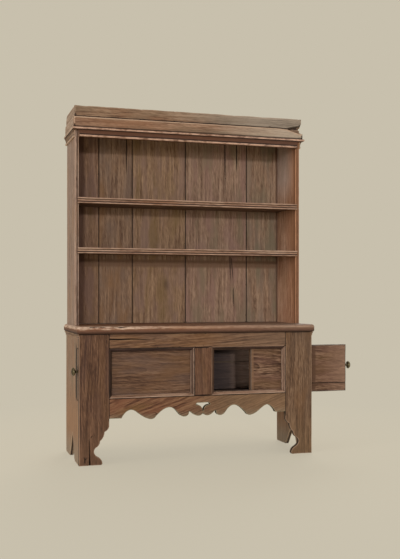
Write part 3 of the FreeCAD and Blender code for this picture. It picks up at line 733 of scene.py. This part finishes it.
def moulded(name, section, put, starts, ends, wear=0.7 * mm, nick=2.0 * mm, step=13 * mm, crease=2.4 * mm,
            bead_crease=None, creases=(), seed=0.0):
    """A run of moulding. Put gives the place of a point of the section at a distance along the run, and
    starts and ends where each point of the section begins and stops, so that the ends can be mitred. Wear
    and nick say how deep the proud corners are worn and chipped. Crease is how far the painted shade
    reaches from an inner corner, or from a point of creases, and bead_crease how far on a bead."""
    worn_round, proud_turn, inner_turn, least_nick = 1.3 * mm, 0.35, -0.5, 0.63
    nick_waves, wear_waves = 26.0, 30.0
    section = eased(np.array(section, float), worn_round)
    inward = inward_of(section)
    before, after = section - np.roll(section, 1, axis=0), np.roll(section, -1, axis=0) - section
    turning = np.arctan2(np.cross(before, after), (before * after).sum(axis=1))
    proud = np.clip(turning / proud_turn, 0, 1)
    corners = np.array([*section[turning < inner_turn], *creases]).reshape(-1, 2)
    crease_shade = np.zeros(len(section))
    if len(corners):
        nearest = np.linalg.norm(section[:, None] - corners[None], axis=2).min(axis=1)
        crease_shade = np.clip(1.2 - nearest / np.where(turning > 0.05, bead_crease or crease, crease), 0, 1)
        proud = np.where(crease_shade > 0.5, 0, proud)
    start = np.array([starts(a, b) for a, b in section])
    end = np.array([ends(a, b) for a, b in section])
    count = max(2, math.ceil(float((end - start).max()) / step))
    places = []
    for row in range(count + 1):
        s = start + (end - start) * row / count
        spots = np.stack([s, section[:, 0] + section[:, 1]], axis=1)
        chip = np.clip(ripple(spots * (1, 2.5), nick_waves, seed + 5) - least_nick, 0, 1) * 3.0
        depth = proud * (wear * (0.2 + 1.3 * ripple(spots, wear_waves, seed)) + nick * chip)
        flat = section + inward * depth[:, None]
        places += list(put(flat[:, 0], flat[:, 1], s))
    marks = list(np.where(crease_shade > 0, -crease_shade, proud)) * (count + 1)
    return meshed(name, places, stacked(0, len(section), count + 1), 30.0, edge=marks)


def hollow_strip():
    """The section of a strip, across its width and into the wood."""
    points, steps = [(0, strip_quirk), (strip_flat, strip_quirk)], 7
    for i in range(1, steps + 1):
        share = i / steps
        points.append((strip_flat + (strip_width - strip_flat) * share,
                       strip_quirk + strip_fall * (0.62 * share + 0.38 * share ** 2.2)))
    return points + [(strip_width, strip_depth), (0, strip_depth)]


# Each strip's dark, middle and light tones and its share of pale rubbing. These are painted light and shade:
# dark tones for the top and left-hand strips, pale ones for the lower and right-hand strips.
strip_lit_and_shaded_tones = {
    ("left", "top"): ((28, 17, 14), (50, 33, 28), (68, 47, 40), 0.05),
    ("left", "bottom"): ((92, 62, 46), (138, 108, 88), (170, 142, 122), 0.9),
    ("left", "left"): ((30, 18, 13), (50, 33, 24), (70, 48, 36), 0.0),
    ("left", "right"): ((56, 37, 28), (82, 60, 48), (104, 80, 66), 1.0),
    ("right", "top"): ((32, 20, 15), (58, 39, 31), (80, 57, 46), 0.1),
    ("right", "bottom"): ((86, 58, 43), (136, 105, 86), (170, 142, 122), 0.9),
    ("right", "left"): ((52, 34, 24), (80, 57, 43), (102, 76, 59), 0.15),
    ("right", "right"): ((74, 52, 40), (114, 88, 72), (142, 114, 96), 0.9),
}
for (hand, edge), (dark, middle, light, wear) in strip_lit_and_shaded_tones.items():
    low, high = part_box("opening_moulding_" + hand)
    run, across = (X, Z) if edge in ("top", "bottom") else (Z, X)
    origin, into = (high, -1) if edge in ("top", "right") else (low, 1)

    def put(out, deep, s):
        places = np.empty((len(s), 3))
        places[:, run], places[:, Y], places[:, across] = s, frame_front + deep, origin[across] + into * out
        return places

    strip = moulded("opening_strip_{}_{}".format(hand, edge), hollow_strip(), put,
                    lambda a, b: low[run] + a, lambda a, b: high[run] - a, nick=1.4 * mm,
                    seed=7.3 + len(edge) + low[X])
    finish = old_wood("strip_oak_{}_{}".format(hand, edge), run, Y, dark, middle, light,
                      worn=(176, 148, 128), tint=middle, cast=middle, sway=0.003, figure=0.15, wear=wear,
                      patchy=0.5, seed=7.0 + len(edge))
    fit(strip, finish, "opening_moulding_" + hand)


# The end boards of the case: upright oak, cut at the bottom with a V that leaves two feet, and slotted
# behind the front corner for the sliding board. Paler than the front and orange low down. Beside the slot
# the board is worn a little hollow and painted dark there as the slot's shade; the arrises round the slot
# and under the waist board, and the sawn edges, are painted dark as shade too.
slot_shade_strip = [(-0.153, 0.374, 29, 2), (-0.153, 0.640, 29, 2)]
slot_low, slot_high, slot_back = 0.361, 0.648, -0.18
end_shade = 0.727
for hand, side in hands:
    node = "side_board_" + hand
    end_board = board(node, X, side, arris=2.4 * mm, ragged=1.2 * mm, seed=8.1 + side, cut_mark=-0.9,
                      splits=(slot_shade_strip,), split_mark=0.95,
                      meets=lambda u, v: (v > end_shade) | (v > slot_low) & (v < slot_high) & (u < slot_back))
    oak(end_board, "frame_wood", node, Z, X, (84, 60, 46), (136, 109, 88), (164, 138, 116),
        worn=(172, 148, 124), tint=(140, 102, 74), cast=(122, 108, 86),
        turns=((Z, 0.50, 0.26, (154, 116, 86)), (Z, 0.16, 0.04, (142, 122, 102))), heart=(0.4, side * 0.60),
        figure=0.2, seed=8.1 + side)


# Inside the case: rebated runners that carry the sliding boards, the post that they close against, a floor
# on two cleats and two wide back boards. Rough wood that was never waxed. The back is painted paler than the
# rest as painted light, to lift it in its shade, and the floor and back go darker towards the left, with a
# dark strip on the back, as painted shade.
inner_tones = ((42, 32, 28), (72, 57, 50), (94, 78, 68))
for node, along, deep in (("lower_runner", X, Z), ("upper_runner", X, Z), ("centre_post", Z, Y),
                          ("floor_cleat_left", Y, X), ("floor_cleat_right", Y, X), ("corner_blocks", Z, X),
                          ("hutch_dowels", Z, X), ("stop_peg_left", Y, Z), ("stop_peg_right", Y, Z)):
    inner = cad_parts[node]
    inner.data.materials.clear()
    inner.data.materials.append(old_wood(node + "_wood", along, deep, *inner_tones, gloss=0.85,
                                         seed=9.0 + 0.7 * len(node)))
back_painted_pale = ((108, 84, 70), (160, 130, 112), (184, 156, 138))
back_low, back_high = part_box("case_back_lower")
back_painted_shade = dict(bands=((X, 0.25, 0.145, (58, 50, 50)),), marks_end=(back_low[Y] + back_high[Y]) / 2)
for node, axis, tones, dirt_and_painted_shade, seed in (("cupboard_floor", Z, inner_tones, {}, 9.4),
                                      ("case_back_lower", Y, back_painted_pale, back_painted_shade, 9.8),
                                      ("case_back_upper", Y, back_painted_pale, back_painted_shade, 10.3)):
    # The darkening towards the left and the dark strip on the back are painted shade, and the back's pale
    # tones are painted light.
    inner = board(node, axis, HIGH, arris=2.0 * mm, seed=seed)
    oak(inner, "inner_wood", node, X, axis, *tones, worn=(110, 92, 76), tint=tones[1], cast=tones[1],
        turns=((X, 0.37, 0.26, (46, 37, 34)),), heart=(0.3, 0.35), streaks=0.55, rings=60.0, gloss=0.85,
        seed=seed, **dirt_and_painted_shade)


# The sliding boards that shut the openings: each runs out through its end of the case and has a turned
# brass knob in its outer end. The left one is shut and the right one is drawn out.
left_slide = board("sliding_board_left", Y, LOW, arris=2.0 * mm, ragged=0.9 * mm, seed=11.2)
oak(left_slide, "slide_wood", "sliding_board_left", X, Y, (66, 44, 31), (98, 69, 50), (122, 93, 72),
    tint=(92, 72, 63), cast=(108, 76, 48), heart=(0.53, -0.285), lean=0.045, sway=0.016, figure=0.34,
    curl=0.004, flecks=1.2, seed=11.2, body="left_board")
slide_low, slide_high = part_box("sliding_board_right")
# Where the right board comes out through the end of the case, a dark stripe across it is painted shade.
slot_painted_shade = 0.720
outer_seam = [(slide_high[X] - 0.235, 0.4150, 2.6, 1), (slide_high[X] - 0.10, 0.4142, 3.0, 2),
              (slide_high[X] - 0.002, 0.4148, 3.4, 2)]
right_slide = board("sliding_board_right", Y, LOW, arris=2.4 * mm, ragged=1.6 * mm, seed=12.6,
                    splits=(outer_seam,))
oak(right_slide, "slide_wood", "sliding_board_right", X, Y, (58, 36, 25), (94, 67, 49), (136, 106, 85),
    worn=(92, 82, 74), tint=(112, 80, 66), cast=(100, 72, 46), turns=((X, 0.78, 0.94, (160, 124, 102)),),
    bands=((X, slide_low[X] + 10 * mm, 10 * mm, (120, 90, 68)), (X, slot_painted_shade, 20 * mm, (84, 58, 42))),
    heart=(0.52, -0.25), lean=0.09, rings=60.0, sway=0.014, figure=0.36, curl=0.007, flecks=1.6, seed=12.6,
    body="right_board")

knob_profile = [(-2.0, 7.0), (0.0, 10.2), (1.6, 10.8), (3.0, 9.6), (4.2, 7.4), (8.0, 6.3), (12.0, 7.4),
                (15.0, 10.4), (16.4, 15.0), (18.2, 19.6), (20.6, 22.2), (23.0, 23.0), (25.2, 22.5),
                (26.4, 21.2), (27.2, 21.0), (29.6, 18.9), (32.4, 14.4), (34.6, 8.6), (35.8, 3.6), (36.0, 0.8)]
knob_reach, knob_sides, highlight_radius = 36 * mm, 40, 21.5


def speckle(tree, scale, detail):
    """Noise over the surface, that many clouds to a metre."""
    return Field.of(tree, "TexNoise", "Fac", Scale=scale, Detail=detail,
                    Vector=Field.of(tree, "TexCoord", "Object"))


brass = bpy.data.materials.new("dark_brass")
tree = emptied(brass)
smear = speckle(tree, 60.0, 4.0)
# The widest ring of each knob's head is painted paler: a painted highlight.
rim_highlight = Field.of(tree, "Attribute", "Fac", {"attribute_name": "edge"})
colour = (smear * 0.6 + rim_highlight * 0.5).held().blend(paint(52, 42, 28), paint(132, 122, 92))
surfaced(tree, colour, 0.34 + smear * 0.25, speckle(tree, 420.0, 2.0), strength=0.3, distance=0.2 * mm,
         Metallic=0.8)
for hand, side in hands:
    low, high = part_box("knob_" + hand)
    middle = (low + high) / 2
    middle[X] = (low if side == LOW else high)[X] - side * knob_reach
    places, faces = [], []
    add_turned(places, faces, middle, X, [(side * reach * mm, radius * mm) for reach, radius in knob_profile],
               knob_sides)
    marks = [float(radius > highlight_radius) for _, radius in knob_profile for _ in range(knob_sides)]
    knob = meshed("turned_knob_" + hand, places, faces, 50.0, edge=marks)
    fit(knob, brass, "knob_" + hand, hand + "_board")


# The waist board: one thick board over the case, with a round nose along the front and both ends that
# generations of elbows and dishes have worn uneven and pale. The lower half of the nose and its lower
# arris are painted dark as shade.
low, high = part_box("waist_board")
corner = 20 * mm
quarter = [math.radians(a) for a in range(0, 91, 15)]
plan = [(low[X], high[Y])]
plan += [(low[X] + corner - corner * math.cos(a), low[Y] + corner - corner * math.sin(a)) for a in quarter]
plan += [(high[X] - corner + corner * math.sin(a), low[Y] + corner - corner * math.cos(a)) for a in quarter]
plan += [(high[X], high[Y])]
gouges = ([(-0.640, -0.268, 2.5, 3), (-0.600, -0.262, 4.0, 4), (-0.560, -0.266, 2.0, 2)],
          [(-0.520, -0.262, 2.0, 3), (-0.470, -0.266, 3.5, 4), (-0.415, -0.263, 2.0, 2)])
# The lower arris is marked dark and a band in the finish darkens the lower half of the nose: painted shade.
waist = sawn("worn_waist_board", [np.array(plan)], facing(Z, high[Z], HIGH), high[Z] - low[Z], arris=16 * mm,
             back_arris=9 * mm, ragged=2.4 * mm, dip=0.8 * mm, seed=13.4, step=11 * mm, fade=7 * mm,
             splits=gouges, uneven=0.55, rear_mark=-0.55, square=lambda u, v: v > high[Y] - 1 * mm)
oak(waist, "waist_wood", "waist_board", X, Z, (78, 48, 34), (134, 92, 68), (164, 126, 100),
    worn=(200, 172, 150), tint=(132, 84, 62), cast=(140, 104, 78), turns=((X, -0.1, 0.5, (134, 106, 88)),),
    bands=((Z, 0.737, 0.016, (92, 62, 46)),), unworn=(X, -0.48, -0.10), heart=(0.0, 0.60), sway=0.005,
    figure=0.2, patchy=0.8, wear=0.95, seed=13.4)


def straight(node, axis, least=0.0004, **shape):
    """The worn moulding that stands for a CAD piece whose section is the same all along an axis."""
    low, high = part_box(node)
    return moulded("worn_" + node, face_loops(node, axis, LOW, least)[0], facing(axis, 0.0, LOW),
                   lambda a, b: low[axis], lambda a, b: high[axis], **shape)


for node in ("waist_cove_left", "waist_cove_right"):
    cove = straight(node, Y, 0.00003, wear=0.5 * mm, nick=1.0 * mm, seed=14.2)
    oak(cove, "moulding_wood", node, Y, X, (70, 46, 32), (116, 88, 68), (150, 122, 98), seed=14.2)


# The sides of the upper part, which stand on the waist board on dowels. Two beads are worked on the front
# edge of each, and the flat outside and the rebate for the back boards are cut from the same board.
# The right side's inner face is painted paler than the left side's outer face, and paler still towards the
# top, as painted light. The creases of the beads are painted dark as shade, wider on the right.
side_tones_and_painted_light = {
    "left": dict(dark=(90, 64, 50), middle=(138, 114, 99), light=(166, 142, 125), worn=(200, 166, 146),
                 tint=(140, 116, 104)),
    "right": dict(dark=(120, 82, 56), middle=(178, 137, 110), light=(202, 166, 140), worn=(206, 164, 134),
                  tint=(156, 108, 80), bands=((Y, -0.048, 11 * mm, (116, 80, 56)),),
                  turns=((Z, 1.52, 1.68, (196, 170, 154)), (Y, 0.10, -0.06, (116, 80, 56)))),
}
for hand, side, bead_painted_shade in (("left", LOW, 4.2 * mm), ("right", HIGH, 5.6 * mm)):
    node = "hutch_side_" + hand
    upright = straight(node, Z, wear=0.5 * mm, nick=1.6 * mm, step=16 * mm, crease=2.0 * mm,
                       bead_crease=bead_painted_shade, seed=15.0 + side)
    oak(upright, "hutch_side_wood", node, Z, X, cast=(150, 112, 80), heart=(0.4, side * 0.62), figure=0.15,
        sway=0.005, wear=1.0, patchy=0.3, seed=15.0 + side, **side_tones_and_painted_light[hand])


# The shelves, housed in the sides, and the beaded strip on each one's front edge: two beads with a hollow
# between them, chipped and rubbed along their length.
inner_side = -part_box("hutch_side_left")[1][X]
strip_lap = 4 * mm
for level, seed, tones in (("lower", 16.3, ((84, 56, 42), (156, 124, 102), (188, 158, 138))),
                           ("upper", 17.1, ((80, 52, 40), (149, 117, 96), (184, 152, 130)))):
    low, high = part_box("shelf_" + level)
    strip_low, strip_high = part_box("shelf_strip_" + level)
    front = strip_high[Y] - strip_lap
    flat = [(-inner_side, front), (inner_side, front), (inner_side, high[Y]), (-inner_side, high[Y])]
    shelf = sawn("worn_shelf_" + level, [np.array(flat)], facing(Z, high[Z], HIGH), high[Z] - low[Z],
                 arris=1.2 * mm, seed=seed, meets=everywhere)
    oak(shelf, "shelf_wood", "shelf_" + level, X, Z, (66, 44, 32), (108, 80, 60), (136, 106, 84),
        heart=(0.1, high[Z] + 0.06), seed=seed)
    node = "shelf_strip_" + level
    # The hollow between the beads is painted dark as shade, by the creases and by a band in the finish.
    strip = straight(node, X, 0.0001, wear=1.0 * mm, nick=3.4 * mm, crease=5.0 * mm, bead_crease=3.4 * mm,
                     seed=seed)
    oak(strip, "moulding_wood", node, X, Y, *tones, worn=(204, 172, 152), tint=(130, 94, 74),
        cast=(142, 100, 72), bands=((Z, strip_low[Z] + 10.5 * mm, 4 * mm, (54, 32, 23)),), sway=0.003,
        figure=0.1, wear=1.0, patchy=0.8, seed=seed)


# The back of the upper part: five wide oak boards, lapped edge to edge, each of its own colour, with old
# shrinkage cracks, and nailed to the shelves and the top from behind. Each board is made as a front and a
# rear half, because the laps give these two their own outlines.
back_tones = (
    ((92, 65, 49), (135, 102, 79), (162, 129, 102), (126, 97, 84), (130, 100, 68)),
    ((92, 66, 50), (131, 102, 80), (158, 128, 103), (120, 98, 84), (136, 100, 68)),
    ((98, 71, 52), (137, 107, 82), (165, 134, 105), (136, 108, 94), (124, 98, 64)),
    ((100, 74, 58), (139, 110, 90), (168, 139, 116), (142, 110, 98), (128, 110, 88)),
    ((98, 72, 56), (140, 111, 89), (168, 140, 115), (132, 112, 96), (118, 108, 86)),
)
back_cracks = {
    2: ([(-0.3310, 1.925, 3.6, 3), (-0.3305, 1.780, 3.8, 3), (-0.3300, 1.688, 0.8, 0)],),
    4: ([(0.3120, 1.940, 4.8, 5), (0.3130, 1.760, 4.6, 5), (0.3125, 1.590, 1.0, 0)],
        [(0.3910, 1.940, 4.6, 5), (0.3915, 1.800, 4.4, 4), (0.3905, 1.734, 0.8, 0)],
        [(0.3460, 1.178, 3.8, 3), (0.3475, 1.120, 4.0, 3), (0.3498, 1.040, 0.8, 0)],
        [(0.3570, 1.178, 3.0, 2), (0.3610, 1.110, 3.2, 3), (0.3670, 1.040, 0.8, 0)],
        [(0.3680, 0.979, 3.2, 2), (0.3690, 0.930, 3.6, 3), (0.3695, 0.866, 0.8, 0)]),
}
back_knots = {3: ((1.010, -0.077, 0.024),), 5: ((0.905, 0.515, 0.012),)}
# Painted shade on the boards' faces: a dark band under the lower shelf, and dark strips in the corners beside
# the sides.
painted_shelf_shade = (Z, 1.144, 0.025, (106, 78, 58))
painted_corner_shade = {1: [(X, -0.618, 0.028, (74, 46, 34))], 5: [(X, 0.668, 0.007, (84, 58, 44))]}
for number, (dark, middle, light, tint, cast) in enumerate(back_tones, 1):
    node = "hutch_back_board_{}".format(number)
    low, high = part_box(node)
    seed = 18.0 + 1.7 * number
    for layer, side, bands, cracks in (("face", LOW, [painted_shelf_shade] + painted_corner_shade.get(number, []),
                                        back_cracks.get(number, ())), ("rear", HIGH, (), ())):
        finish = old_wood("{}_{}_oak".format(node, layer), Z, Y, dark, middle, light, tint=tint, cast=cast,
                          bands=bands, heart=((low[X] + high[X]) / 2 + 0.25 * (-1) ** number, -0.10),
                          rings=60.0, sway=0.009, knots=back_knots.get(number, ()), figure=0.16,
                          streaks=0.85, flecks=1.1, blotch=0.7, seed=seed)
        half = board(node, Y, side, name="{}_{}".format(node, layer), thick=(high[Y] - low[Y]) / 2,
                     arris=1.5 * mm, back_arris=0, ragged=0.6 * mm, fade=2.4 * mm, seed=seed + side,
                     square=lambda u, v: (v < low[Z] + 1 * mm) | (v > high[Z] - 1 * mm), meets=everywhere,
                     splits=cracks)
        fit(half, finish, node)

iron = bpy.data.materials.new("wrought_iron")
tree = emptied(iron)
rust = speckle(tree, 260.0, 4.0)
colour = rust.between(0.4, 0.7).blend(paint(44, 40, 38), paint(96, 62, 44))
surfaced(tree, colour, 0.5 + rust * 0.35, rust, strength=0.5, distance=0.3 * mm, Metallic=0.55)
nail_head, nail_rise, nail_sides, nail_inset, board_lap = 4.8 * mm, 1.9 * mm, 8, 30 * mm, 8 * mm
nail_rows = ((-2 * mm, nail_head), (0.3 * nail_rise, nail_head), (nail_rise * 0.8, nail_head * 0.55),
             (nail_rise, nail_head * 0.12))
places, faces = [], []
for held in ("shelf_lower", "shelf_upper", "hutch_top"):
    z = (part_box(held)[0][Z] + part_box(held)[1][Z]) / 2
    for number in range(1, 6):
        low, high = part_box("hutch_back_board_{}".format(number))
        for x in (low[X] + nail_inset, high[X] - board_lap - nail_inset):
            add_turned(places, faces, (x, high[Y], z), Y, nail_rows, nail_sides, 40 * x + z,
                       lambda i: 0.9 + 0.1 * math.sin(4.0 * i + 90 * x))
nails = meshed("forged_back_nails", places, faces, 20.0)
fit(nails, iron, "back_nails")


# The head of the upper part: a top board over the ends of the sides, a bed mould mitred round them, and two
# bands of old grey-brown oak that have parted and worn away to a wedge at the right-hand end.
head_board = board("hutch_top", Z, HIGH, arris=1.5 * mm, seed=27.0)
oak(head_board, "shelf_wood", "hutch_top", X, Z, (70, 50, 38), (106, 82, 64), (134, 110, 90),
    heart=(0.1, 2.10), seed=27.0)

bed_low, bed_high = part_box("bed_mould_front")
return_low, return_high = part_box("bed_mould_left")
bead, bead_depth = 12 * mm, 4 * mm
lower_set, hollow_depth = 9 * mm, 6 * mm
bed_height = bed_high[Z] - bed_low[Z]


def bed_sections(depth):
    """The sections of the bed mould's upper bead, and of the hollow and lower bead under it: how deep behind
    the outer face, and how far below the top."""
    lower, steps = bed_height - bead, 8
    turn = [math.pi * i / steps for i in range(1, steps)]
    round_out = [(bead_depth * (1 - math.sin(angle)), bead * (1 - math.cos(angle)) / 2) for angle in turn]
    upper = [(depth, 0), (bead_depth, 0), *round_out, (bead_depth, bead), (depth, bead)]
    under = [(depth, bead), (bead_depth, bead)]
    for i in range(1, steps):
        share = i / steps
        bow = math.sin(math.pi * share) * (hollow_depth - lower_set * 0.5 + bead_depth * 0.5)
        under.append((bead_depth + lower_set * share + bow * 0.9, bead + (lower - bead) * share))
    under.append((lower_set + bead_depth, lower))
    under += [(lower_set + deep, lower + fall) for deep, fall in round_out]
    return upper, under + [(lower_set + bead_depth, bed_height), (depth, bed_height)]


# The lines at the top of the upper bead and under it are painted dark as shade, and a band in the front's
# finish paints its hollow dark as shade.
bed_shade_lines = ((bead_depth, 0), (bead_depth, bead))
side_out = -bed_low[X]
side_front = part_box("hutch_side_left")[0][Y]
return_depth = return_high[X] - return_low[X]
finish = old_wood("bed_oak_front", X, Y, (52, 30, 20), (98, 66, 47), (136, 102, 80), worn=(192, 156, 134),
                  tint=(112, 70, 46), cast=(92, 58, 38), turns=((X, 0.1, 0.4, (100, 76, 66)),),
                  bands=((Z, 1.879, 13 * mm, (88, 56, 40)),), sway=0.003, figure=0.1, wear=1.0, patchy=0.75,
                  seed=28.3)
for part, section, reach in zip(("upper", "lower"), bed_sections(bed_high[Y] - bed_low[Y]),
                                (lambda a: side_out - min(a, return_depth), lambda a: inner_side)):
    mould = moulded("worn_bed_mould_front_" + part, section,
                    lambda a, b, s: np.stack([s, bed_low[Y] + a, bed_high[Z] - b], axis=1),
                    lambda a, b: -reach(a), lambda a, b: reach(a), wear=0.9 * mm, nick=2.6 * mm,
                    crease=8.0 * mm, bead_crease=2.6 * mm, creases=bed_shade_lines, seed=28.3)
    fit(mould, finish, "bed_mould_front")
for hand, side in hands:
    node = "bed_mould_" + hand
    finish = old_wood(node + "_oak", Y, X, (74, 52, 40), (126, 100, 82), (160, 134, 114),
                      worn=(188, 160, 138), sway=0.003, figure=0.1, wear=1.0, seed=29.0 + side)
    for part, section, begin in zip(("upper", "lower"), bed_sections(return_depth),
                                    (lambda a: bed_low[Y] + a, lambda a: side_front)):
        mould = moulded("worn_{}_{}".format(node, part), section,
                        lambda a, b, s: np.stack([side * (side_out - a), s, bed_high[Z] - b], axis=1),
                        lambda a, b: begin(a), lambda a, b: return_high[Y], wear=0.8 * mm, crease=4.5 * mm,
                        bead_crease=2.6 * mm, creases=bed_shade_lines, seed=29.0 + side)
        fit(mould, finish, node)

cornice = {
    "lower": dict(seed=31.0, turns=((X, 0.05, 0.60, (210, 188, 166)),), dark=(84, 56, 40),
                  middle=(125, 94, 73), light=(156, 124, 100), wear=0.9),
    "upper": dict(seed=33.5, turns=((X, -0.15, 0.40, (158, 142, 126)),), dark=(76, 52, 38),
                  middle=(122, 94, 72), light=(150, 122, 98), wear=0.3),
}
# The lowest part of each band is painted dark as shade, where it overhangs the part below.
lower_band_middle, upper_band_middle, band_painted_shade = 1.94, 1.99, 25 * mm


def gone(u, begin, end, depth, bend=1.0):
    """How much of a band's edge has worn away along it: nothing up to begin, and all of depth at the end."""
    return np.clip((u - begin) / (end - begin), 0, 1) ** bend * depth


decay = {
    "lower": dict(ragged=1.2 * mm, fade=9 * mm,
                  bite=lambda u, v: gone(u, 0.53, 0.70, 18 * mm, 1.5) * (v > lower_band_middle)),
    "upper": dict(ragged=3.4 * mm, bite=lambda u, v: gone(u, 0.60, 0.70, 7 * mm) * (v < upper_band_middle)),
}
for level, tones in cornice.items():
    node = "cornice_" + level
    seed = tones["seed"]
    lower_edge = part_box(node)[0][Z]
    face = board(node, Y, LOW, arris=2.4 * mm, meets=lambda u, v: v < lower_edge + band_painted_shade, seed=seed,
                 **decay[level])
    oak(face, "cornice_wood", node, X, Y, worn=(184, 154, 130), tint=(140, 98, 70), cast=(118, 100, 80),
        heart=(lower_edge - 0.5, -0.05), rings=80.0, figure=0.2, slant=1.0, **tones)
    for hand, side in hands:
        part = "{}_return_{}".format(node, hand)
        returned = board(part, X, side, arris=2.4 * mm, ragged=1.6 * mm, seed=seed + side)
        oak(returned, "cornice_wood", part, Y, X, (98, 72, 56), (150, 126, 106), (176, 152, 132),
            worn=(190, 166, 146), tint=(148, 120, 100), heart=(1.5, side * 0.6), figure=0.2, seed=seed + side)
